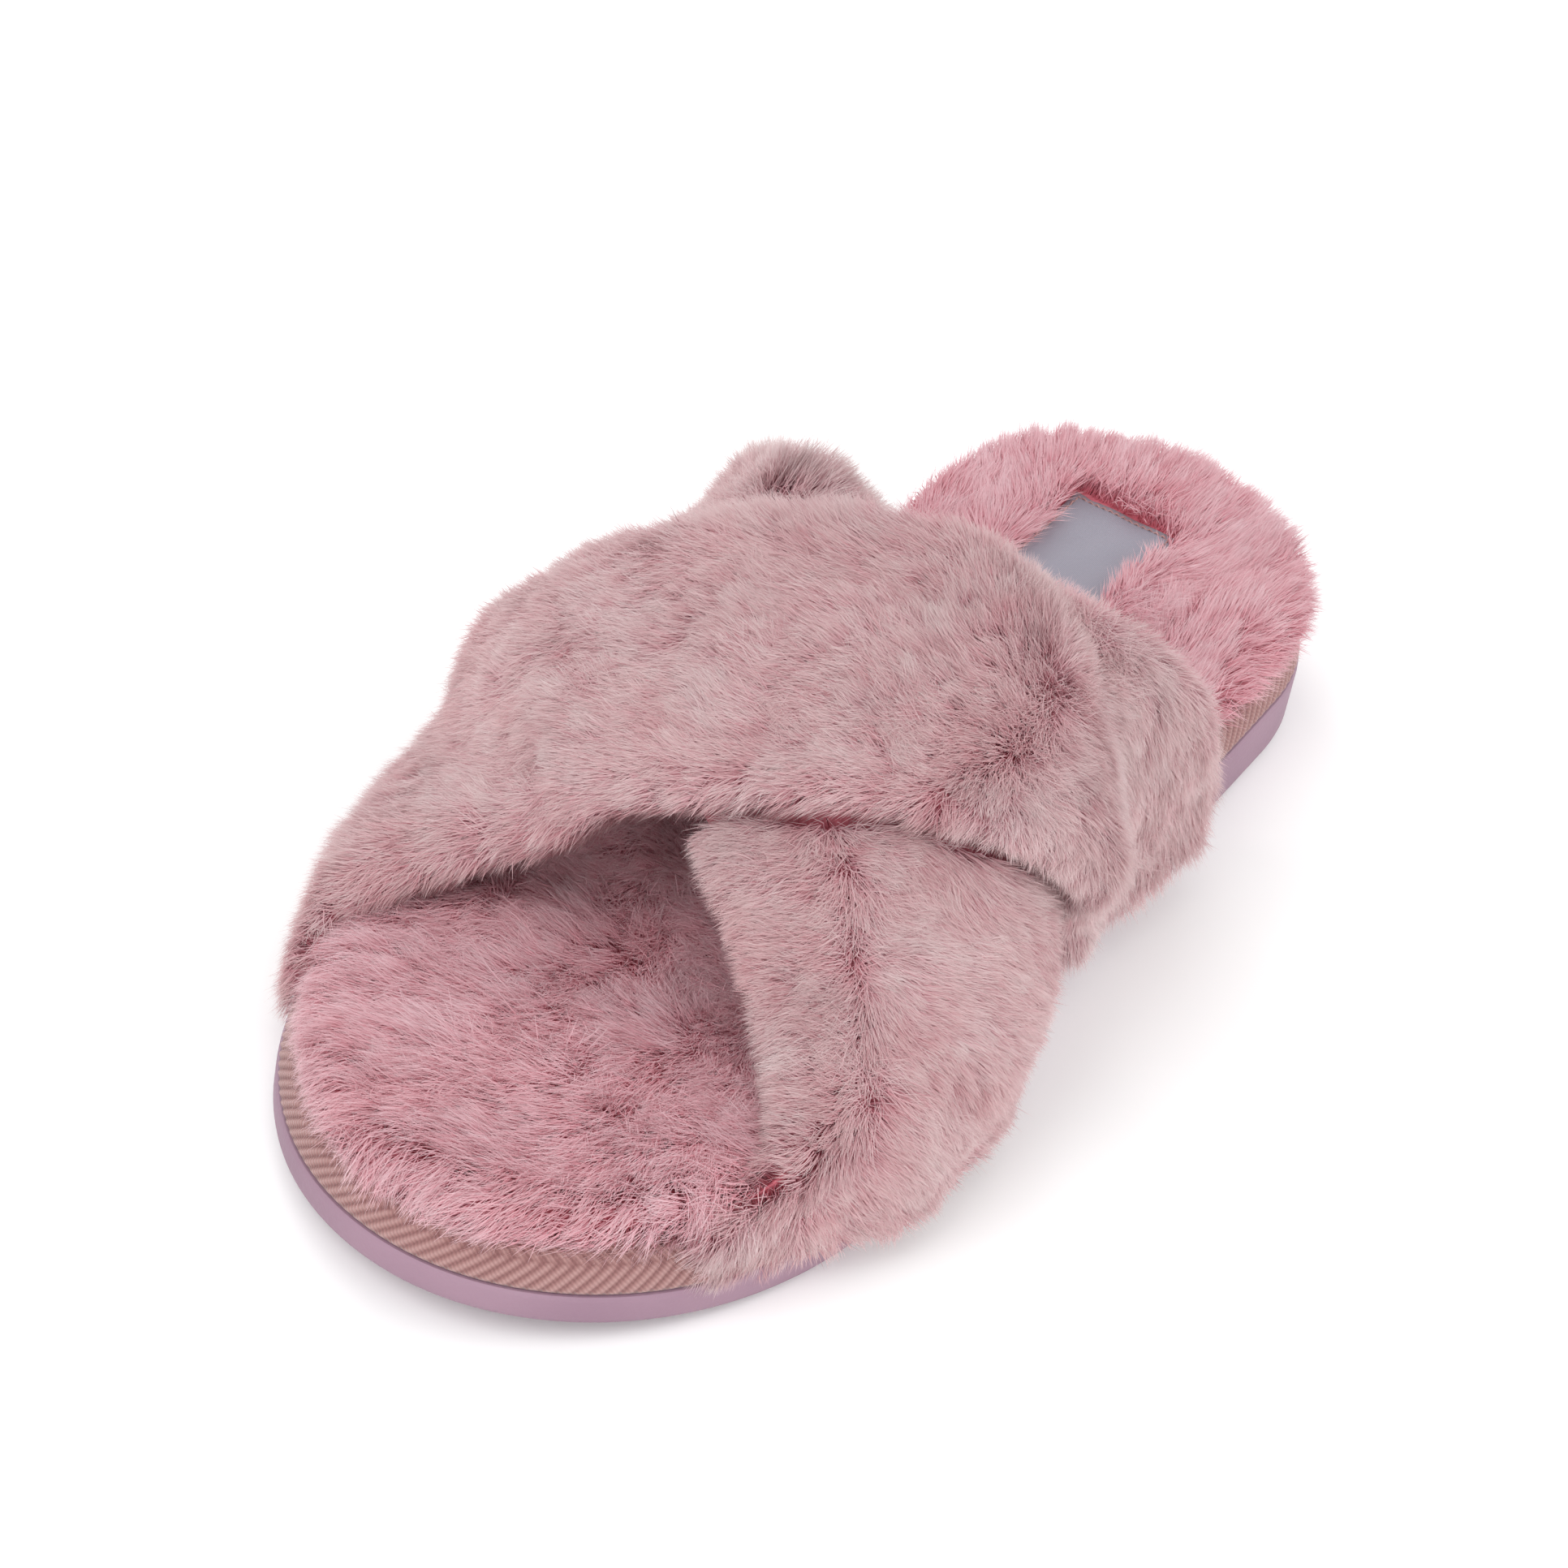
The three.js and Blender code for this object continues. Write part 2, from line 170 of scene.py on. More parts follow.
def top(y):
    return underside(y) + lerp(TOE_THICK, HEEL_THICK, smooth((y + HALF) / (2 * HALF * 0.95)))


# ---- foot form and bands --------------------------------------------------------------
def crest_table():
    ys, zs = [], []
    last = len(CREST_Y) - 1
    for i in range(last):
        t0, t1 = CREST_Y[i], CREST_Y[i + 1]
        before, prev = (CREST_Y[i - 1], CREST_Z[i - 1]) if i else (t1, CREST_Z[i + 1])
        after, nxt = (CREST_Y[i + 2], CREST_Z[i + 2]) if i + 2 <= last else (t0, CREST_Z[i])
        half = (t1 - t0) / 2
        wp, wn = half / (t0 - before), half / (after - t1)
        p = np.linspace(0, 1, 50)
        z = (
            (-wp * p ** 3 + 2 * wp * p ** 2 - wp * p) * prev
            + ((1 + wp) * p ** 3 + (-1.5 - 2 * wp) * p ** 2 + (-0.5 + wp) * p + 1) * CREST_Z[i]
            + ((-1 - wn) * p ** 3 + (1.5 + wn) * p ** 2 + 0.5 * p) * CREST_Z[i + 1]
            + (wn * p ** 3 - wn * p ** 2) * nxt
        )
        ys.append(lerp(t0, t1, p)[:-1])
        zs.append(z[:-1])
    return np.concatenate(ys + [[CREST_Y[-1]]]), np.concatenate(zs + [[CREST_Z[-1]]])


crest_y, crest_z = crest_table()


# Point on the foot form; t runs over the foot from 0 at the left edge to pi at the right, a little past both.
def form(t, y):
    t, y = np.broadcast_arrays(np.asarray(t, float), np.asarray(y, float))
    yc = np.clip(y, -112, 70)
    h = np.interp(np.clip(yc, -100, 55), crest_y, crest_z)
    k = np.clip((yc + 90) / 120, 0, 1)
    ex, ez = lerp(1.05, 0.82, k), lerp(1.75, 0.87, k)
    wl, wr = half_width(-1, yc) + 0.4, half_width(1, yc) + 1.2
    a, xc = (wl + wr) / 2, (wr - wl) / 2
    base = top(yc) + FORM_BASE
    tt = np.clip(t, 0, math.pi)
    c, s = np.cos(tt), np.maximum(np.sin(tt), 0)
    hang = np.where(t < 0, -t / SKIRT, np.where(t > math.pi, (t - math.pi) / SKIRT, 0.0))
    z = base + (h - base) * s ** ez - hang * (FORM_BASE - 1.2)
    return np.stack([xc - a * np.sign(c) * np.abs(c) ** ex, y, z], axis=-1)


def form_normal(t, y):
    lo, hi = np.maximum(t - 0.09, -SKIRT), np.minimum(t + 0.09, math.pi + SKIRT)
    return unit(np.cross(form(hi, y) - form(lo, y), form(t, y + 2) - form(t, y - 2)))


def edge_y(edge, t):
    tt = np.clip(t, 0, math.pi)
    return lerp(edge[0], edge[1], tt / math.pi) - edge[2] * np.sin(tt) ** 2


# 1 where a place lies under or over the other band, fading out over the margin.
def over(band, t, y, margin):
    return smooth((y - edge_y(band["front"], t) + margin) / (margin - 1)) * smooth(
        (edge_y(band["rear"], t) + margin - y) / (margin - 1)
    )


# The bands thin out towards their sewn ends.
def slim(t):
    return lerp(0.6, 1.0, smooth(np.sin(np.clip(t, 0, math.pi)) / 0.45))


# Point of a band, off mm outside the foot form: the upper band climbs over the lower one, which is pressed flat
# beneath it and swells behind it, and the front corners of both are tucked inside the tape.
def band_point(band, t, y, off):
    o = off * slim(t)
    if band is UPPER:
        o = o + LIFT * over(LOWER, t, y, 20)
    else:
        free = np.exp(-((t - 1.4) / 0.6) ** 2) * (1 - over(UPPER, t, y, 6))
        free = free * smooth((y - edge_y(band["rear"], t) + 24) / 14)
        o = o + np.where(off > 3.0, PUFF * free - PRESSED * over(UPPER, t, y, 9) * off / BAND, 0.0)
    p = form(t, y) + form_normal(t, y) * o[..., None]
    end = 1 - smooth(np.sin(np.clip(t, 0, math.pi)) / TUCK_SPAN)
    corner = 1 - smooth((y - edge_y(band["front"], t) - 13) / 28)
    tuck = (TUCK_UPPER if band is UPPER else TUCK_LOWER) * end * lerp(0.12, 1.0, corner)
    p[..., 0] += np.where(t < math.pi / 2, tuck, -tuck)
    return p


# Grid of points over a band. section: pairs (place, off), the place being mm back from the front edge,
# mm from the rear edge where it is below zero, or 1000 + a share of the width.
def band_grid(band, section, t):
    f, r = edge_y(band["front"], t), edge_y(band["rear"], t)
    rows = []
    for place, off in section:
        y = lerp(f, r, place - 1000) if place > 900 else r + place if place < 0 else f + place
        rows.append(band_point(band, t, y, np.full_like(t, off)))
    return np.stack(rows, axis=0)


# ---- meshes ------------------------------------------------------------------------------
def place_in_frame(p):
    return (p + SHIFT) * MM


def active(obj):
    bpy.ops.object.select_all(action="DESELECT")
    obj.select_set(True)
    bpy.context.view_layer.objects.active = obj
    return obj


# A grid of cloth or foam is added, moved to its shape, and its meeting edges are sewn into one closed skin.
def shaped(name, points, join=True):
    nu, nv = points.shape[:2]
    bpy.ops.object.select_all(action="DESELECT")
    bpy.ops.mesh.primitive_grid_add(x_subdivisions=nu - 1, y_subdivisions=nv - 1, size=2)
    obj = bpy.context.object
    obj.name = obj.data.name = name
    co = np.empty(len(obj.data.vertices) * 3)
    obj.data.vertices.foreach_get("co", co)
    co = co.reshape(-1, 3)
    i = np.rint((co[:, 0] + 1) / 2 * (nu - 1)).astype(int)
    j = np.rint((co[:, 1] + 1) / 2 * (nv - 1)).astype(int)
    obj.data.vertices.foreach_set("co", place_in_frame(points[i, j]).ravel())
    bpy.ops.object.mode_set(mode="EDIT")
    bpy.ops.mesh.select_all(action="SELECT")
    if join:
        bpy.ops.mesh.remove_doubles(threshold=0.00002)
        bpy.ops.mesh.select_all(action="SELECT")
        bpy.ops.mesh.normals_make_consistent(inside=False)
    bpy.ops.object.mode_set(mode="OBJECT")
    bpy.ops.object.shade_smooth()
    return obj


def finish_piece(obj, material, slot, *nodes):
    obj.data.materials.clear()
    obj.data.materials.append(material)
    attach(obj, "root")
    if nodes:
        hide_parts(*nodes)
    return obj


# Body wrapped round the sole outline: profile steps (inset, scale, height above the sole top or underside).
def sole_wrap(profile, around):
    u = np.linspace(0, 1, around + 1)
    rows = []
    for inset, scale, h, on_top in profile:
        p = rim(u, np.full_like(u, inset)) * scale
        base = top(p[:, 1]) if on_top else underside(p[:, 1])
        rows.append(np.column_stack([p, base + h]))
    return np.stack(rows, axis=1)


# ---- materials ------------------------------------------------------------------------------
def colour(hex_code):
    c = [int(hex_code[i:i + 2], 16) / 255 for i in (0, 2, 4)]
    return tuple(v / 12.92 if v <= 0.04045 else ((v + 0.055) / 1.055) ** 2.4 for v in c) + (1.0,)


# Adds a node; settings are its properties, inputs are values or (node, output) links, stops colour a ramp.
def add(tree, kind, inputs=None, stops=(), **settings):
    n = tree.nodes.new(kind)
    for key, value in settings.items():
        setattr(n, key, value)
    for key, value in (inputs or {}).items():
        if isinstance(value, tuple) and len(value) == 2 and isinstance(value[0], bpy.types.Node):
            tree.links.new(value[0].outputs[value[1]], n.inputs[key])
        else:
            n.inputs[key].default_value = value
    for k, (at, hex_code) in enumerate(stops):
        e = n.color_ramp.elements[k] if k < 2 else n.color_ramp.elements.new(at)
        e.position, e.color = at, colour(hex_code)
    return n


def new_material(name):
    m = bpy.data.materials.new(name)
    m.use_nodes = True
    m.node_tree.nodes.clear()
    return m, m.node_tree


def close_material(tree, shader):
    out = add(tree, "ShaderNodeOutputMaterial")
    tree.links.new(shader.outputs[0], out.inputs["Surface"])


# Polyester faux fur, crimped and brushed: each fibre is deep rose at the root, a dyed colour deepened as
# painted shade for the depth of the pile, dusty pink along its length and pale at the tip, locks differ a
# little in tone, and soft patches a few centimetres wide turn pinker. The rear face of a fibre takes the light
# of the open side of the fur, so that partings and edges stay soft and pink.
def pile_fibre(name, root_hex, body_hex, tip_hex):
    m, t = new_material(name)
    along = add(t, "ShaderNodeAttribute", attribute_name="along")
    tone = add(t, "ShaderNodeAttribute", attribute_name="tone")
    length = add(t, "ShaderNodeValToRGB", {"Fac": (along, "Fac")},
                 stops=((0.0, root_hex), (1.0, tip_hex), (0.42, body_hex)))
    place = add(t, "ShaderNodeTexCoord")
    patch = add(t, "ShaderNodeTexNoise", {"Vector": (place, "Object"), "Scale": 55.0, "Detail": 2.0})
    warm = add(t, "ShaderNodeMix", {"Factor": (patch, "Fac"), "A": colour("fff0f1"), "B": colour("feffff")},
               data_type="RGBA")
    dyed = add(t, "ShaderNodeMix", {"Factor": 1.0, "A": (length, "Color"), "B": (warm, "Result")},
               data_type="RGBA", blend_type="MULTIPLY")
    # tone holds a random shade per lock and per fibre, plus painted light and painted shade that some pieces
    # add
    each = add(t, "ShaderNodeValToRGB", {"Fac": (tone, "Fac")},
               stops=((0.0, "e9c3c9"), (1.0, "ffffff"), (0.5, "f8eaec")))
    final = add(t, "ShaderNodeMix", {"Factor": 1.0, "A": (dyed, "Result"), "B": (each, "Color")},
                data_type="RGBA", blend_type="MULTIPLY")
    front = add(t, "ShaderNodeBsdfPrincipled", {
        "Base Color": (final, "Result"), "Roughness": 0.85, "Sheen Weight": 0.15, "Sheen Roughness": 0.3,
        "Sheen Tint": colour("ffc4cc"), "Specular IOR Level": 0.08})
    through = add(t, "ShaderNodeBsdfTranslucent", {"Color": (final, "Result")})
    side = add(t, "ShaderNodeNewGeometry")
    close_material(t, add(t, "ShaderNodeMixShader", {
        0: (side, "Backfacing"), 1: (front, "BSDF"), 2: (through, "BSDF")}))
    return m


fur_long = pile_fibre("faux_fur_long_pile", "bd6270", "bb9098", "d6cecc")
# The insole fur is a little lighter and pinker than the band fur, as painted light against the deeper shade of
# its standing pile.
fur_insole_painted_light = pile_fibre("faux_fur_insole_pile", "c46776", "ca929c", "deccd0")
# The lining plush is coloured deep red as painted shade of the foot cavity under the bands.
lining_pile_painted_shade = pile_fibre("plush_lining_pile_painted_shade", "641b24", "8e4049", "b0686f")

# Knitted backing that the pile is tucked into; only seen between the fibres.
backing, t = new_material("fur_knit_backing")
place = add(t, "ShaderNodeTexCoord")
knit = add(t, "ShaderNodeTexVoronoi", {"Vector": (place, "Object"), "Scale": 900.0})
shade = add(t, "ShaderNodeValToRGB", {"Fac": (knit, "Distance")}, stops=((0.0, "c8737e"), (1.0, "b05e6a")))
rise = add(t, "ShaderNodeBump", {"Height": (knit, "Distance"), "Strength": 0.5, "Distance": 0.0004})
close_material(t, add(t, "ShaderNodeBsdfPrincipled", {
    "Base Color": (shade, "Color"), "Normal": (rise, "Normal"), "Roughness": 0.95,
    "Specular IOR Level": 0.15}))

# Moulded EVA foam: matt lilac pink with a fine closed-cell skin.
eva, t = new_material("moulded_eva_foam")
place = add(t, "ShaderNodeTexCoord")
cells = add(t, "ShaderNodeTexNoise", {"Vector": (place, "Object"), "Scale": 1400.0, "Detail": 3.0})
cloud = add(t, "ShaderNodeTexNoise", {"Vector": (place, "Object"), "Scale": 28.0, "Detail": 2.0})
tint = add(t, "ShaderNodeValToRGB", {"Fac": (cloud, "Fac")}, stops=((0.35, "8a6c7d"), (0.65, "937585")))
rough = add(t, "ShaderNodeMapRange", {"Value": (cells, "Fac"), "To Min": 0.5, "To Max": 0.68})
rise = add(t, "ShaderNodeBump", {"Height": (cells, "Fac"), "Strength": 0.25, "Distance": 0.0003})
close_material(t, add(t, "ShaderNodeBsdfPrincipled", {
    "Base Color": (tint, "Color"), "Roughness": (rough, "Result"), "Normal": (rise, "Normal"),
    "Subsurface Weight": 0.08, "Subsurface Radius": (0.004, 0.002, 0.003)}))

# Woven herringbone tape: peach ribs with painted shade darkening the grooves between them and the groove down
# the V, and threads 0.45 mm apart across each rib.
tape, t = new_material("woven_herringbone_tape")
rib = add(t, "ShaderNodeAttribute", attribute_name="rib")
weave = add(t, "ShaderNodeUVMap", uv_map="UVMap")
size = add(t, "ShaderNodeMapping", {"Vector": (weave, "UV"), "Scale": (14.0, RIM_LENGTH, 1.0)})
threads = add(t, "ShaderNodeTexWave", {
    "Vector": (size, "Vector"), "Scale": 0.7, "Distortion": 1.2, "Detail": 1.0}, bands_direction="DIAGONAL")
ribs_and_groove_shade = add(t, "ShaderNodeValToRGB", {"Fac": (rib, "Fac")},
           stops=((0.0, "855d5c"), (1.0, "ac8885"), (0.45, "9c7572")))
lines = add(t, "ShaderNodeValToRGB", {"Fac": (threads, "Fac")}, stops=((0.0, "e9e6e6"), (1.0, "ffffff")))
dyed = add(t, "ShaderNodeMix", {"Factor": 1.0, "A": (ribs_and_groove_shade, "Color"), "B": (lines, "Color")},
           data_type="RGBA", blend_type="MULTIPLY")
rise = add(t, "ShaderNodeBump", {"Height": (threads, "Fac"), "Strength": 0.5, "Distance": 0.0002})
close_material(t, add(t, "ShaderNodeBsdfPrincipled", {
    "Base Color": (dyed, "Result"), "Normal": (rise, "Normal"), "Roughness": 0.85, "Sheen Weight": 0.2,
    "Specular IOR Level": 0.25}))

# Twisted polyester sewing thread.
thread, t = new_material("twisted_polyester_thread")
place = add(t, "ShaderNodeTexCoord")
ply = add(t, "ShaderNodeTexNoise", {"Vector": (place, "Object"), "Scale": 1600.0})
tint = add(t, "ShaderNodeValToRGB", {"Fac": (ply, "Fac")}, stops=((0.3, "96706e"), (0.7, "b08886")))
close_material(t, add(t, "ShaderNodeBsdfPrincipled", {
    "Base Color": (tint, "Color"), "Roughness": 0.6, "Sheen Weight": 0.1}))

# Woven satin label: cool white-grey with a soft shine, warp lines 0.3 mm apart.
satin, t = new_material("woven_satin_label")
weave = add(t, "ShaderNodeUVMap", uv_map="UVMap")
size = add(t, "ShaderNodeMapping", {"Vector": (weave, "UV"), "Scale": (LABEL_WIDTH, LABEL_LENGTH, 1.0)})
warp = add(t, "ShaderNodeTexWave", {
    "Vector": (size, "Vector"), "Scale": 1.1, "Distortion": 0.4, "Detail": 1.0})
tint = add(t, "ShaderNodeValToRGB", {"Fac": (warp, "Fac")}, stops=((0.0, "7f7d8b"), (1.0, "8f8b97")))
rise = add(t, "ShaderNodeBump", {"Height": (warp, "Fac"), "Strength": 0.3, "Distance": 0.0001})
close_material(t, add(t, "ShaderNodeBsdfPrincipled", {
    "Base Color": (tint, "Color"), "Normal": (rise, "Normal"), "Roughness": 0.42, "Sheen Weight": 0.2}))

# Pressed fibre board and open-cell foam, both hidden inside.
board, t = new_material("pressed_fibre_board")
place = add(t, "ShaderNodeTexCoord")
fibre = add(t, "ShaderNodeTexNoise", {"Vector": (place, "Object"), "Scale": 600.0, "Detail": 4.0})
tint = add(t, "ShaderNodeValToRGB", {"Fac": (fibre, "Fac")}, stops=((0.3, "9b7a52"), (0.7, "b8966b")))
close_material(t, add(t, "ShaderNodeBsdfPrincipled", {"Base Color": (tint, "Color"), "Roughness": 0.95}))
foam, t = new_material("open_cell_foam")
place = add(t, "ShaderNodeTexCoord")
pores = add(t, "ShaderNodeTexVoronoi", {"Vector": (place, "Object"), "Scale": 1100.0})
tint = add(t, "ShaderNodeValToRGB", {"Fac": (pores, "Distance")}, stops=((0.0, "efe4cf"), (1.0, "d8c7a8")))
close_material(t, add(t, "ShaderNodeBsdfPrincipled", {"Base Color": (tint, "Color"), "Roughness": 1.0}))


# ---- fur ------------------------------------------------------------------------------------
# Spreads roots over a grid of points in small tufts. Returns place, normal and share of the grid, first for the
# tufts and then for their fibres.
def sow(points, tufts, per_tuft, spread, facing=1):
    nu, nv = points.shape[:2]
    du, dv = points[1:, :-1] - points[:-1, :-1], points[:-1, 1:] - points[:-1, :-1]
    area = np.linalg.norm(np.cross(du, dv), axis=-1)
    pick = np.searchsorted(np.cumsum(area.ravel()) / area.sum(), rng.random(tufts))
    pick = np.minimum(pick, area.size - 1)
    i, j = np.divmod(pick, nv - 1)
    at = np.stack([i + rng.random(tufts), j + rng.random(tufts)], axis=1)
    step = np.stack([np.linalg.norm(du[i, j], axis=1), np.linalg.norm(dv[i, j], axis=1)], axis=1)
    every = np.repeat(at, per_tuft, axis=0)
    scatter = spread / np.maximum(np.repeat(step, per_tuft, axis=0), 0.05)
    every = every + rng.normal(size=every.shape) * scatter
    normals = facing * unit(np.cross(np.gradient(points, axis=0), np.gradient(points, axis=1)))

    def read(q):
        a = np.clip(q[:, 0], 0, nu - 1.001)
        b = np.clip(q[:, 1], 0, nv - 1.001)
        ia, ib = a.astype(int), b.astype(int)
        fa, fb = (a - ia)[:, None], (b - ib)[:, None]

        def mixed(g):
            return lerp(lerp(g[ia, ib], g[ia + 1, ib], fa), lerp(g[ia, ib + 1], g[ia + 1, ib + 1], fa), fb)
        return mixed(points), unit(mixed(normals)), np.stack([a / (nu - 1), b / (nv - 1)], axis=1)
    return read(at), read(every)


# Bent fibre: stands up at its root and leans over towards its tip.
def fibre_curve(root, normal, comb, lean, length):
    comb = unit(comb - normal * np.sum(comb * normal, axis=1, keepdims=True))
    a, b = (lean * 0.55)[:, None], np.minimum(lean * 1.3, 1.75)[:, None]
    length = length[:, None]
    middle = root + length * 0.45 * (normal * np.cos(a) + comb * np.sin(a))
    return middle, middle + length * 0.55 * (normal * np.cos(b) + comb * np.sin(b))


# Makes one mesh of flat tapered fibres, five points and two faces each, shaded as the cloth they grow from.
def fleece(name, material, root, normal, middle, tip, width, tone):
    n = len(root)
    side = unit(np.cross(tip - root, normal))
    twist = rng.normal(size=n)[:, None] * 0.3
    side = unit(side * np.cos(twist) + normal * np.sin(twist)) * (width / 2)[:, None]
    foot = side * 0.8
    co = np.stack([root - foot, root + foot, middle - side, middle + side, tip], axis=1).reshape(-1, 3)
    base = np.arange(n, dtype=np.int32)[:, None] * 5
    corners = (base + np.array([[0, 1, 3, 2, 2, 3, 4]], dtype=np.int32)).ravel()
    starts = (np.arange(n, dtype=np.int32)[:, None] * 7 + np.array([[0, 4]], dtype=np.int32)).ravel()
    mesh = bpy.data.meshes.new(name)
    mesh.vertices.add(n * 5)
    mesh.vertices.foreach_set("co", place_in_frame(co).ravel())
    mesh.loops.add(n * 7)
    mesh.loops.foreach_set("vertex_index", corners)
    mesh.polygons.add(n * 2)
    mesh.polygons.foreach_set("loop_start", starts)
    mesh.update(calc_edges=True)
    mesh.polygons.foreach_set("use_smooth", np.ones(n * 2, dtype=bool))
    facing = unit(normal + 0.35 * rng.normal(size=normal.shape) + np.array([0, 0, 0.35]))
    mesh.normals_split_custom_set_from_vertices(np.repeat(facing, 5, axis=0))
    along = mesh.attributes.new("along", "FLOAT", "POINT")
    along.data.foreach_set("value", np.tile([0.0, 0.0, 0.5, 0.5, 1.0], n))
    shade = mesh.attributes.new("tone", "FLOAT", "POINT")
    shade.data.foreach_set("value", np.repeat(np.clip(tone, 0, 1), 5))
    grid = math.ceil(math.sqrt(n))
    cell = np.stack([np.arange(n) % grid, np.arange(n) // grid], axis=1)[:, None, :]
    spot = np.array([[0.2, 0.1], [0.8, 0.1], [0.2, 0.5], [0.8, 0.5], [0.5, 0.92]])[None]
    uv = ((cell + spot) / grid).reshape(-1, 2)[corners]
    mesh.uv_layers.new(name="OFBake").data.foreach_set("uv", uv.ravel())
    obj = bpy.data.objects.new(name, mesh)
    bpy.context.scene.collection.objects.link(obj)
    return finish_piece(obj, material, "pile")


def above_sole(p):
    return top(p[:, 1]) + 0.6


# Covers a grid with fur. Tufts clump into locks; key orders the fibres, which are then cut into equal pieces.
def grow(names, material, points, tufts, comb_of, lean_of, length_of, spread=TUFT_SPREAD, width=FIBRE,
         keep=None, key=None, painted_light_and_shade_of=None, facing=1, lowest=above_sole):
    (tuft_at, tuft_n, tuft_uv), (at, normal, uv) = sow(points, tufts, PER_TUFT, spread, facing)
    owner = np.repeat(np.arange(tufts), PER_TUFT)
    leaders = rng.choice(tufts, tufts // LOCK, replace=False)
    tree = KDTree(len(leaders))
    for k, leader in enumerate(leaders):
        tree.insert(Vector(tuft_at[leader]), k)
    tree.balance()
    lead = leaders[[tree.find(Vector(q))[1] for q in tuft_at]]
    sway = rng.normal(size=(tufts, 3))
    sway = 0.2 * sway + 0.24 * sway[lead]
    slant, reach, shade = rng.normal(size=(3, tufts))
    t_lean = lean_of(tuft_at, tuft_uv) + 0.11 * slant + 0.07 * slant[lead]
    t_len = length_of(tuft_at, tuft_uv) * (1 + 0.06 * reach)
    _, t_tip = fibre_curve(tuft_at, tuft_n, comb_of(tuft_at, tuft_uv) + sway, t_lean, t_len)
    t_tip = t_tip + (t_tip[lead] - t_tip) * 0.4
    count = len(at)
    comb = comb_of(at, uv) + sway[owner] + rng.normal(size=(count, 3)) * 0.45
    lean = lean_of(at, uv) + rng.normal(size=count) * 0.22
    length = length_of(at, uv) * np.clip(1 + rng.normal(size=count) * 0.10, 0.6, 1.3)
    middle, tip = fibre_curve(at, normal, comb, lean, length)
    pull = (0.55 * rng.uniform(0.4, 1.3, size=count))[:, None]
    tip = tip + (t_tip[owner] - tip) * pull
    tone = 0.62 + (0.09 * shade + 0.13 * shade[lead])[owner] + 0.07 * rng.normal(size=count)
    # Some pieces add painted light and painted shade to the tone here.
    if painted_light_and_shade_of is not None:
        tone = tone + painted_light_and_shade_of(at, uv)
    good = tip[:, 2] > lowest(tip)
    if keep is not None:
        good &= keep(at, uv)
    order = np.flatnonzero(good)
    if key is not None:
        order = order[np.argsort(key(at[order], uv[order]), kind="stable")]
    for name, s in zip(names, np.array_split(order, len(names))):
        widths = width * rng.uniform(0.7, 1.2, size=len(s))
        fleece(name, material, at[s], normal[s], middle[s], tip[s], widths, tone[s])


# ---- outsole: moulded EVA with cross grooves --------------------------------------------------
rings = [0.0, 0.25, 0.5, 0.74, 0.9]
wall = [(inset, 1, h, False) for inset, h in ((1.6, 0.0), (1.1, 0.12), (0.6, 0.45), (0.2, 1.0), (0.0, 1.8))]
lip = [(inset, 1, h, True) for inset, h in ((0.0, -1.2), (0.08, -0.6), (0.35, -0.15), (0.8, 0.0))]
profile = [(1.6, s, 0.0, False) for s in rings] + wall + lip + [(0.8, s, 0.0, True) for s in reversed(rings)]
outsole = shaped("outsole_moulded", sole_wrap(profile, 288))
bpy.ops.object.select_all(action="DESELECT")
cutters = []
for y in (-64, -54, -44, -34, -24, 58, 68, 78, 88, 98):
    reach = float(min(half_width(-1, y), half_width(1, y)) - 8)
    bpy.ops.mesh.primitive_cube_add(size=1, location=((0 + SHIFT[0]) * MM, (y + SHIFT[1]) * MM, 0),
                                    scale=(2 * reach * MM, 2.4 * MM, 3.0 * MM))
    cutters.append(bpy.context.object)
for c in cutters:
    c.select_set(True)
bpy.context.view_layer.objects.active = cutters[0]
bpy.ops.object.join()
cutter = bpy.context.object
bpy.ops.object.transform_apply(location=True, rotation=True, scale=True)
active(outsole)
cut = outsole.modifiers.new("grooves", "BOOLEAN")
cut.operation, cut.object, cut.solver = "DIFFERENCE", cutter, "EXACT"
bpy.ops.object.modifier_apply(modifier="grooves")
bpy.data.objects.remove(cutter)
bpy.ops.object.shade_smooth_by_angle(angle=math.radians(40))
finish_piece(outsole, eva, "eva_sole", "outsole")

# ---- herringbone tape round the footbed edge ------------------------------------------------------
tape_curve = np.array([[0.5, 0.3], [0.65, 1.2], [0.95, 2.2], [1.6, 3.7], [2.6, 5.0], [3.8, 6.05],
                       [5.2, 6.85], [6.6, 7.3], [8.0, 7.55]])
tape_back = np.array([[8.0, 6.5], [5.8, 5.8], [3.6, 4.2], [2.1, 1.8], [1.9, 0.3]])
run = np.concatenate([[0], np.cumsum(np.linalg.norm(np.diff(tape_curve, axis=0), axis=1))])
across = np.linspace(0, 1, 19)
face = np.stack([np.interp(across * run[-1], run, tape_curve[:, k]) for k in (0, 1)], axis=1)
slope = unit(np.gradient(face, axis=0))
out = np.stack([-slope[:, 1], slope[:, 0]], axis=1)
AROUND, SPINE = 1360, 0.46                      # steps round the sole; where the ribs of the tape meet in a V
u = np.linspace(0, 1, AROUND + 1)
rib_count = round(RIM_LENGTH / RIB_PITCH)
rows, ribs_at = [], []
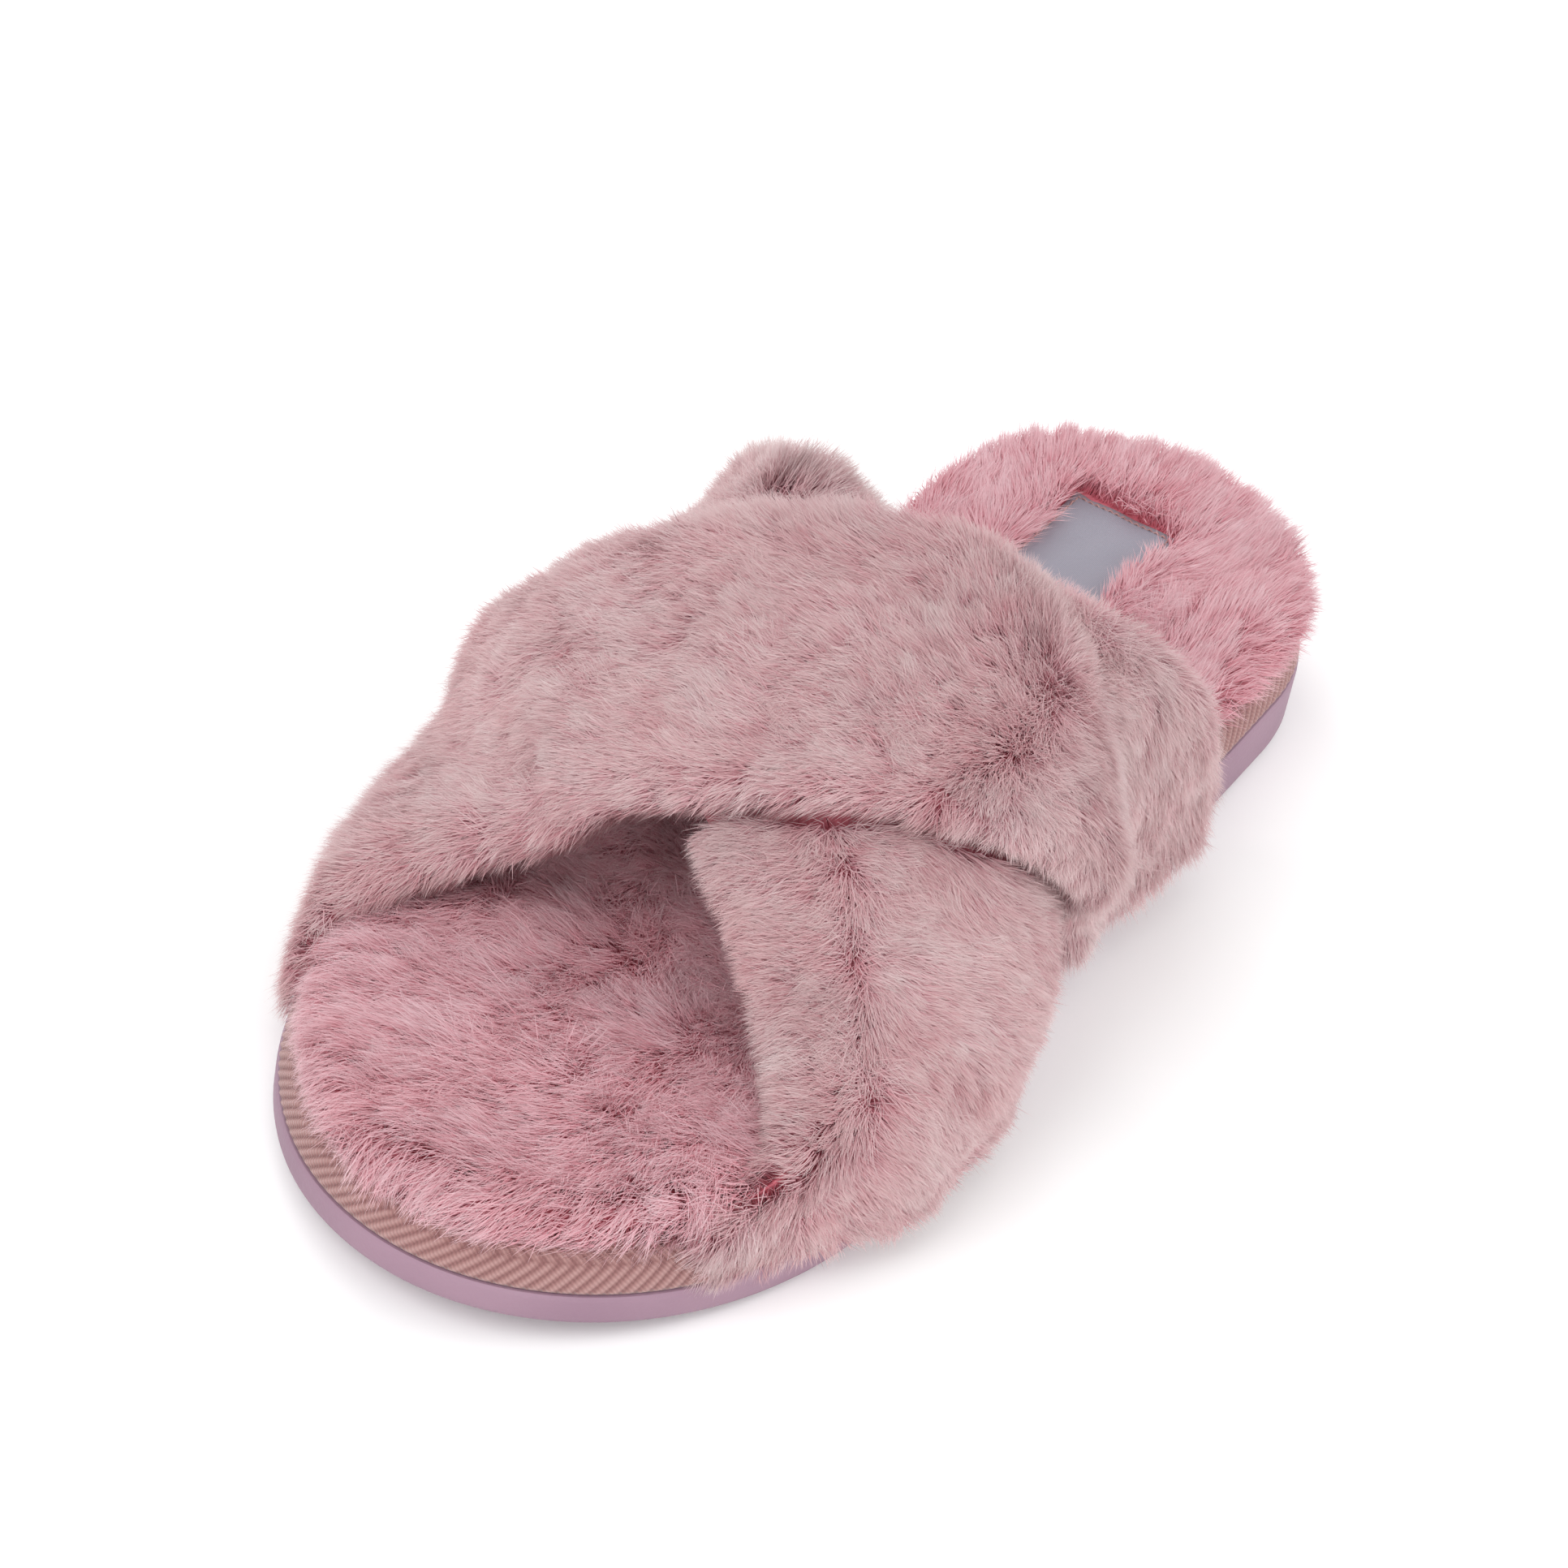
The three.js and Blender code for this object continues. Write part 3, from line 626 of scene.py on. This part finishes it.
for s, (inset, h), (way_in, way_up) in zip(across, face, out):
    phase = u * rib_count + abs(s - SPINE) * 5.0
    rib_h = 0.5 + 0.5 * np.cos(2 * math.pi * phase)
    groove = 1 - 0.7 * math.exp(-((s - SPINE) / 0.03) ** 2)
    edge = min(1.0, s / 0.06, (1 - s) / 0.06)
    lift = (rib_h ** 0.7 * groove * edge) * 0.5 - 0.1
    p = rim(u, inset + way_in * lift)
    rows.append(np.column_stack([p, top(p[:, 1]) + h + way_up * lift]))
    # Ridge height times the groove dip; the tape material turns low values darker as painted shade in the
    # grooves.
    ribs_at.append(rib_h * groove)
for inset, h in tape_back:
    p = rim(u, np.full_like(u, inset))
    rows.append(np.column_stack([p, top(p[:, 1]) + h]))
    ribs_at.append(np.zeros_like(u))
rows.append(rows[0])
ribs_at.append(ribs_at[0])
points = np.stack(rows, axis=0)
ribs_at = np.stack(ribs_at, axis=0)
tape_ring = shaped("edge_tape_herringbone", points, join=False)
nu, nv = points.shape[:2]
rib_of = np.empty(len(tape_ring.data.vertices))
loop_v = np.empty(len(tape_ring.data.loops), dtype=np.int32)
tape_ring.data.loops.foreach_get("vertex_index", loop_v)
loop_uv = np.empty(len(loop_v) * 2)
tape_ring.data.uv_layers[0].data.foreach_get("uv", loop_uv)
row_of, step_of = np.rint(loop_uv.reshape(-1, 2) * np.array([nu - 1, nv - 1])).astype(int).T
rib_of[loop_v] = ribs_at[row_of, step_of]
tape_ring.data.attributes.new("rib", "FLOAT", "POINT").data.foreach_set("value", rib_of)
active(tape_ring)
bpy.ops.object.mode_set(mode="EDIT")
bpy.ops.mesh.select_all(action="SELECT")
bpy.ops.mesh.remove_doubles(threshold=0.00001)
bpy.ops.mesh.select_all(action="SELECT")
bpy.ops.mesh.normals_make_consistent(inside=False)
bpy.ops.object.mode_set(mode="OBJECT")
finish_piece(tape_ring, tape, "tape", "edge_binding")

# Row of thread that holds the tape, as a laid twisted cord.
u = np.linspace(0, 1, 1200 + 1)
rows = []
for a in np.linspace(0, 2 * math.pi, 7):
    inset = 3.75 + 0.14 * math.cos(a)
    p = rim(u, np.full_like(u, inset))
    dash = 0.08 * np.cos(2 * math.pi * u * round(RIM_LENGTH / 3.2))
    rows.append(np.column_stack([p, top(p[:, 1]) + 6.1 + 0.14 * math.sin(a) + dash]))
stitch = shaped("tape_stitch_row", np.stack(rows, axis=0))
finish_piece(stitch, thread, "thread", "binding_stitch")

# ---- insole: cushion skin and long pile ---------------------------------------------------------
def insole_height(p2):
    swell = 0.5 * lumps(np.column_stack([p2, np.zeros(len(p2))]), 34, 3)
    mound = 3.0 * np.exp(-((p2[:, 0] - 2) / 36) ** 2 - ((p2[:, 1] + 86) / 26) ** 2)
    return top(p2[:, 1]) + swell + mound


ROOT_TOP = 9.0
edge = [(9.2, 1, 6.0), (8.4, 1, 7.0), (8.3, 1, 8.0), (9.4, 1, 8.8), (11.5, 1, 9.1), (14.5, 1, ROOT_TOP)]
edge += [(14.5, s, ROOT_TOP) for s in (0.93, 0.86, 0.78, 0.7, 0.6, 0.5, 0.4, 0.3, 0.2, 0.1, 0.0)]
u = np.linspace(0, 1, 361)
rows = []
for k, (inset, scale, h) in enumerate(edge):
    y = rim(u, np.full_like(u, inset))[:, 1]
    heel = smooth((y - 40) / 50) * (k > 0)
    p = rim(u, inset - 4.0 * heel - 1.2 * (1 - heel) * (k > 0)) * scale
    ground = insole_height(p) if k > 2 else top(p[:, 1])
    rows.append(np.column_stack([p, ground + h + 1.2 * heel + (0.9 if k > 0 else 0.0)]))
insole_grid = np.stack(rows, axis=1)
bottom = [(9.2, s, 5.7) for s in (0.0, 0.3, 0.6, 0.9, 1.0)]
rows = []
for inset, scale, h in bottom:
    p = rim(u, np.full_like(u, inset)) * scale
    rows.append(np.column_stack([p, top(p[:, 1]) + h]))
insole_skin = shaped("insole_fur_backing", np.concatenate([np.stack(rows, axis=1), insole_grid], axis=1))
finish_piece(insole_skin, backing, "pile", "insole_fur")

label_y = LABEL_REAR - LABEL_LENGTH / 2


def label_gap(p):  # distance outside the label
    dx = np.maximum(np.abs(p[:, 0] - LABEL_X) - LABEL_WIDTH / 2, 0)
    dy = np.maximum(np.abs(p[:, 1] - label_y) - LABEL_LENGTH / 2, 0)
    return np.hypot(dx, dy)


# Places where the pile parts and stands up, so that its darker roots show; some pieces also darken them with
# painted shade.
def pit(p, centres, size):
    out = np.zeros(len(p))
    for c in centres:
        out = np.maximum(out, np.exp(-(np.linalg.norm(p - np.array(c), axis=1) / size) ** 2))
    return out


INSOLE_PITS = [(1, -115, 15), (-4, -110, 15), (14, -114, 15), (31, -106, 15), (-22, -104, 15)]
BAND_PITS = [(33.7, -25, 65), (34, -8, 69), (37, -17, 62), (30, -32, 62)]


def whorl(p, centre, size, swirl):
    d = p - np.array(centre)
    r = np.linalg.norm(d, axis=1, keepdims=True)
    w = np.exp(-(r / size) ** 2)
    turned = np.stack([-d[:, 1], d[:, 0], np.zeros(len(d))], axis=1)
    return w * (unit(d) + unit(turned) * swirl) * 0.45


def insole_comb(p, uv):
    field = np.zeros_like(p)
    front = smooth((20 - p[:, 1]) / 60)
    field[:, 0] = lerp(0.1, -0.35, front)
    field[:, 1] = lerp(0.8, -0.8, front)
    edge_way = p[:, :2] / np.array([50.0, 127.5])
    out = smooth((np.abs(edge_way).max(axis=1) - 0.5) / 0.5)
    field[:, :2] += edge_way * lerp(1.3, 0.7, front)[:, None] * out[:, None]
    field += whorl(p, (1, -115, 15), 8, 0.8) + whorl(p, (31, -106, 15), 6, -0.5)
    wander = lumps(p, 26, 11)
    field[:, 0] += 0.3 * wander
    field[:, 1] += 0.25 * lumps(p, 22, 12)
    away = np.stack([p[:, 0] - LABEL_X, p[:, 1] - label_y, np.zeros(len(p))], axis=1)
    field[:, 2] -= 0.9 * smooth((p[:, 1] - 30) / 40) * (1 - smooth(uv[:, 1] / 0.3))
    gap = label_gap(p)
    field += unit(away) * (1.5 * np.exp(-((gap - 6) / 4) ** 2) - 1.2 * np.exp(-(gap / 2.5) ** 2))[:, None]
    return field


def insole_lean(p, uv):
    at_edge = 1 - smooth(uv[:, 1] / 0.25)
    return (0.92 + 0.06 * lumps(p, 18, 13)) * (1 - 0.12 * pit(p, INSOLE_PITS, 5.5)) + 0.2 * at_edge


def insole_length(p, uv):
    near = np.exp(-(label_gap(p) / 3.0) ** 2)
    rim_cut = lerp(0.85, 1.0, smooth((p[:, 1] - 20) / 50))
    cut = lerp(rim_cut, 1.0, smooth(uv[:, 1] / 0.3)) * (1 - 0.2 * near)
    toe = 1.2 * smooth((-60 - p[:, 1]) / 30)
    return (INSOLE_PILE + toe + 0.5 * lumps(p, 20, 14)) * (1 - 0.1 * pit(p, INSOLE_PITS, 4.5)) * cut


# Painted light lightens the toe of the insole pile, and painted shade darkens the fur round the parting pits.
def insole_painted_light_and_shade(p, uv):
    return 0.25 * smooth((-40 - p[:, 1]) / 40) - 0.15 * pit(p, INSOLE_PITS, 6)


def not_label(p, uv):
    return label_gap(p) > 0.3


def from_toe(p, uv):
    return p[:, 1]


grow(["insole_pile_toe", "insole_pile_ball", "insole_pile_arch", "insole_pile_heel"], fur_insole_painted_light,
     insole_grid, INSOLE_TUFTS, insole_comb, insole_lean, insole_length, keep=not_label, key=from_toe,
     painted_light_and_shade_of=insole_painted_light_and_shade)

# ---- bands -----------------------------------------------------------------------------------------
MIDDLE = [1000 + k for k in (0.14, 0.2, 0.28, 0.36, 0.44, 0.5, 0.56, 0.64, 0.72, 0.8, 0.86)]
TURN = 3.6                                     # the backing turns over this far inside the edge of the pile
roll = ((3.0, 0.35), (1.6, 0.3), (0.6, 0.8), (0.1, 1.8), (0.1, 2.7), (0.9, 3.7), (2.4, 4.3), (4.6, 4.5))
face_section = [(TURN + a, b) for a, b in roll]
outer = face_section + [(k, 4.6) for k in MIDDLE] + [(-a, b) for a, b in reversed(face_section)]
roll = ((3.2, 0.9), (3.2, 1.5), (3.2, 2.0), (3.2, 2.5), (3.2, 3.0), (3.6, 3.5), (4.8, 3.7), (6.2, 3.7))
inner_section = [(TURN + a, b) for a, b in roll]
inner = inner_section + [(k, 3.75) for k in MIDDLE] + [(-a, b) for a, b in reversed(inner_section)]
PAD_IN = TURN + 4.1
T0, T1 = -SKIRT, math.pi + SKIRT
SKIN_ROWS = np.linspace(T0, T1, 121)


# Closed sleeve of one layer of a band, between its outside and its inside.
def closed_band(name, band, outside, inside):
    a, b = band_grid(band, outside, SKIN_ROWS), band_grid(band, inside, SKIN_ROWS)
    ring = np.concatenate([a, b[::-1], a[:1]], axis=0)
    both = (a + b) / 2
    cap = np.concatenate([both, both[::-1], both[:1]], axis=0)
    return shaped(name, np.concatenate([cap[:, :1], ring, cap[:, -1:]], axis=1))


# Row of twisted thread; place(across, away) gives its line for offsets across the row and off the cloth.
def thread_row(name, node, count, place):
    taper = np.ones(count)
    taper[0] = taper[-1] = 0
    turn = [place(taper * math.cos(a), taper * math.sin(a)) for a in np.linspace(0, 2 * math.pi, 7)]
    finish_piece(shaped(name, np.stack(turn, axis=0)), thread, "thread", node)


def stitches(count, way):  # the thread dips and rises once every four points
    return 0.12 * np.cos(np.arange(count) * math.pi / 2)[:, None] * np.array(way)


for name, band in (("upper_band", UPPER), ("lower_band", LOWER)):
    skin = closed_band(name + "_fur_backing", band, outer, inner)
    finish_piece(skin, backing, "pile", name + "_fur")
    strip = [PAD_IN, PAD_IN + 2.2] + MIDDLE + [-PAD_IN - 2.2, -PAD_IN]
    pad = closed_band(name + "_foam_pad", band, [(k, 3.4) for k in strip], [(k, 1.8) for k in strip])
    finish_piece(pad, foam, "foam", name + "_foam")
    lining = closed_band(name + "_lining_cloth", band, [(k, 1.5) for k in strip], [(k, 0.1) for k in strip])
    finish_piece(lining, backing, "lining", name + "_lining")
    ends = np.linspace(T0 + 0.5, T1 - 0.5, 181)
    for edge, inward in (("front", PAD_IN + 1.6), ("rear", -PAD_IN - 1.6)):
        line = edge_y(band[edge], ends) + inward
        thread_row(name + "_thread_" + edge, name + "_stitch_" + edge, 181, lambda across, away: band_point(
            band, ends, line + 0.35 * across, -0.15 + 0.3 * away) + stitches(181, (0, 0, 1)))
    for side, t_end in (("left", 0.14), ("right", math.pi - 0.14)):
        at_end = np.full(41, t_end)
        line = lerp(edge_y(band["front"], at_end), edge_y(band["rear"], at_end), np.linspace(0.14, 0.86, 41))
        thread_row(name + "_end_thread_" + side, name + "_seam_" + side, 41, lambda across, away: band_point(
            band, at_end + 0.012 * across, line, -0.25 + 0.3 * away) + stitches(41, (1, 0, 0)))

upper_grid = band_grid(UPPER, outer, np.linspace(T0, T1, 181))
lower_grid = band_grid(LOWER, outer, np.linspace(T0, T1, 181))


def foot_turn(uv):
    return lerp(T0, T1, uv[:, 1])


def band_out(uv):  # -1 at the front edge roll, 0 on the face, 1 at the rear edge roll
    return smooth((uv[:, 0] - 0.70) / 0.2) - smooth((0.30 - uv[:, 0]) / 0.2)


def upper_comb(p, uv):
    t = foot_turn(uv)
    field = np.zeros_like(p)
    part = smooth((t - 1.95) / 0.5) * 2 - 1         # the fur runs left and right away from the parting
    down = np.where(t < math.pi / 2, -1.0, 1.0) * np.abs(np.cos(t)) ** 1.2
    field[:, 0] = part * (0.45 + 0.55 * np.abs(np.sin(t)))
    field[:, 2] = -0.55 * part * down - 0.15
    roll = band_out(uv)
    field[:, 1] = -0.45 + 0.5 * roll
    field[:, 2] -= 0.55 * np.abs(roll)
    field += whorl(p, (33.7, -25, 65), 11, 0.7) + whorl(p, (34, -8, 69), 10, -0.6)
    field[:, 0] += 0.22 * lumps(p, 24, 21)
    field[:, 1] += 0.25 * lumps(p, 20, 22)
    return field


def lower_comb(p, uv):
    t = foot_turn(uv)
    field = np.zeros_like(p)
    part = smooth((p[:, 1] - edge_y(LOWER["front"], t) - 13) / 9) * 2 - 1
    field[:, 0] = 0.95 * part
    field[:, 1] = -0.25 + 0.5 * part
    field[:, 2] = -0.75
    field[:, 0] += 0.25 * lumps(p, 24, 31)
    field[:, 1] += 0.3 * lumps(p, 20, 32)
    rear = smooth((uv[:, 0] - 0.62) / 0.2) * smooth((1.9 - t) / 0.5)
    field[:, 1] += 0.2 * rear
    field[:, 2] += 1.3 * rear
    return field


def ends_of(uv):  # 0 at the sewn ends of a band, 1 over the foot
    return smooth(np.sin(np.clip(foot_turn(uv), 0, math.pi)) / 0.55)


def band_lean(p, uv):
    return (0.85 + 0.06 * lumps(p, 18, 23)) * (1 - 0.18 * pit(p, BAND_PITS, 9.0))


def band_length(p, uv):
    turned = smooth((np.minimum(uv[:, 0], 1 - uv[:, 0]) - 0.1) / 0.2)
    cut = lerp(0.85, 1.0, turned) * lerp(0.9, 1.0, ends_of(uv))
    return (BAND_PILE + 0.4 * lumps(p, 16, 24)) * (1 - 0.1 * pit(p, BAND_PITS, 5.5)) * cut


def from_left(p, uv):
    return uv[:, 1]


def hang_limit(p):
    return underside(p[:, 1]) + 1.2


# Painted light pales the right end of the upper band, and painted shade darkens the fur round its parting pits.
def upper_painted_light_and_shade(p, uv):
    return 0.2 * smooth((foot_turn(uv) - 2.1) / 0.4) - 0.12 * pit(p, BAND_PITS, 8)


grow(["upper_band_pile_left", "upper_band_pile_crest", "upper_band_pile_slope", "upper_band_pile_right"],
     fur_long, upper_grid, UPPER_TUFTS, upper_comb, band_lean, band_length, key=from_left, facing=-1,
     painted_light_and_shade_of=upper_painted_light_and_shade, lowest=hang_limit)


def not_covered(p, uv):
    t = foot_turn(uv)
    return over(UPPER, t, p[:, 1], 2.0) < 0.5


def rear_share(uv):  # the free part of the lower band behind the upper one
    return smooth((uv[:, 0] - 0.6) / 0.2) * smooth((2.1 - foot_turn(uv)) / 0.5)


def lower_lean(p, uv):
    return band_lean(p, uv) * (1 - 0.35 * rear_share(uv))


def lower_length(p, uv):
    return band_length(p, uv) * (1 + 0.4 * rear_share(uv))


# Painted light pales the free swell of the lower band behind the upper one.
def lower_painted_light(p, uv):
    return 0.3 * rear_share(uv)


grow(["lower_band_pile_left", "lower_band_pile_front", "lower_band_pile_right"], fur_long, lower_grid,
     LOWER_TUFTS, lower_comb, lower_lean, lower_length, keep=not_covered, key=from_left, facing=-1,
     painted_light_and_shade_of=lower_painted_light, lowest=hang_limit)


# Short plush on the foot side of both bands, brushed towards the toe; its deep red colour is painted shade of
# the foot cavity.
def plush_comb(p, uv):
    return np.tile([0.1, -1.0, -0.2], (len(p), 1))


def plush_lean(p, uv):
    return np.full(len(p), 0.9)


def plush_length(p, uv):
    return np.full(len(p), PLUSH_PILE)


for name, band in (("upper_band", UPPER), ("lower_band", LOWER)):
    across = [(PAD_IN, 0.0)] + [(k, 0.0) for k in MIDDLE] + [(-PAD_IN, 0.0)]
    under = band_grid(band, across, np.linspace(0.05, math.pi - 0.05, 121))
    grow([name + "_lining_plush"], lining_pile_painted_shade, under, PLUSH_TUFTS, plush_comb, plush_lean, plush_length,
         spread=0.8, width=0.4)

# ---- label ------------------------------------------------------------------------------------------
label_z = float(top(np.array([label_y]))[0]) + PILE_TOP - 3.4
lx = np.linspace(-0.5, 0.5, 25)
ly = np.linspace(-0.5, 0.5, 37)


def label_point(gx, gy, away=0.0):
    sag = 0.35 * np.cos(math.pi * gx) * np.cos(math.pi * gy) + 0.10 * np.sin(gx * 15) * np.sin(gy * 9)
    z = label_z + 0.35 + sag + away
    return np.stack([LABEL_X + gx * LABEL_WIDTH, label_y + gy * LABEL_LENGTH, z], axis=-1)


label_top = label_point(*np.meshgrid(lx, ly, indexing="ij"))
label = shaped("size_label_satin", label_top, join=False)
active(label)
thick = label.modifiers.new("cloth", "SOLIDIFY")
thick.thickness, thick.offset = 0.00045, -1
bpy.ops.object.modifier_apply(modifier="cloth")
finish_piece(label, satin, "label", "size_label")
run = np.linspace(-0.46, 0.46, 57)
dips = stitches(57, (0, 0, 2))
for side, at in (("front", -0.465), ("rear", 0.465)):
    thread_row("label_thread_" + side, "label_stitch_" + side, 57, lambda across, away: label_point(
        run, at + 0.2 * across / LABEL_LENGTH, 0.05 + 0.2 * away) + dips)
for side, at in (("left", -0.45), ("right", 0.45)):
    thread_row("label_thread_" + side, "label_stitch_" + side, 57, lambda across, away: label_point(
        at + 0.2 * across / LABEL_WIDTH, run, 0.05 + 0.2 * away) + dips)

# ---- CAD pieces kept, with their finish ---------------------------------------------------------------
for name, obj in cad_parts.items():
    kind = board if "board" in name else foam if "foam" in name else None
    if kind:
        obj.data.materials.clear()
        obj.data.materials.append(kind)

# ---- floor, light and camera ---------------------------------------------------------------------------
bpy.ops.object.select_all(action="DESELECT")
bpy.ops.mesh.primitive_plane_add(size=8, location=(0, 0, -0.0002))
floor = bpy.context.object
floor.name = "floor"
pale, t = new_material("pale_matt_floor")
close_material(t, add(t, "ShaderNodeBsdfPrincipled", {"Base Color": colour("f7f7f7"), "Roughness": 0.9}))
floor.data.materials.append(pale)
floor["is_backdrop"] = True

world = bpy.data.worlds.new("studio")
bpy.context.scene.world = world
world.use_nodes = True
world.node_tree.nodes["Background"].inputs["Color"].default_value = (1, 1, 1, 1)
world.node_tree.nodes["Background"].inputs["Strength"].default_value = 0.92


def softbox(name, where, size, watts, target=(0, 0, 0.03)):
    data = bpy.data.lights.new(name, "AREA")
    data.shape, data.size, data.energy = "DISK", size, watts
    obj = bpy.data.objects.new(name, data)
    bpy.context.scene.collection.objects.link(obj)
    obj.location = where
    obj.rotation_euler = (Vector(target) - Vector(where)).to_track_quat("-Z", "Y").to_euler()
    return obj


softbox("key_softbox", (-0.3, -0.9, 1.0), 0.9, 5.5)
softbox("left_rim_softbox", (-0.9, 0.5, 0.5), 0.7, 4.0)
softbox("right_rim_softbox", (0.9, 0.6, 0.5), 0.7, 3.5)
softbox("fill_softbox", (0.7, -0.9, 0.5), 0.9, 5)

AZ, EL, ROLL = (math.radians(v) for v in (24.58, 37.94, 11.47))
back = Vector((math.sin(AZ) * math.cos(EL), -math.cos(AZ) * math.cos(EL), math.sin(EL)))
right = Vector((math.cos(AZ), math.sin(AZ), 0))
up = back.cross(right)
right, up = math.cos(ROLL) * right + math.sin(ROLL) * up, -math.sin(ROLL) * right + math.cos(ROLL) * up
target = Vector((np.array([-11.82, -2.13, 20.29]) + SHIFT) * MM)
spot = target + back * 0.82066
lens = bpy.data.cameras.new("camera")
lens.sensor_width, lens.lens = 36.0, 112.83
camera = bpy.data.objects.new("camera", lens)
bpy.context.scene.collection.objects.link(camera)
m = Matrix((right, up, back)).transposed().to_4x4()
m.translation = spot
camera.matrix_world = m
bpy.context.scene.camera = camera
bpy.context.scene.view_settings.view_transform = "Standard"

size = {"cad": [list(map(float, c)) for c in cad_box], "visual": [list(map(float, c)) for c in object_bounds()]}
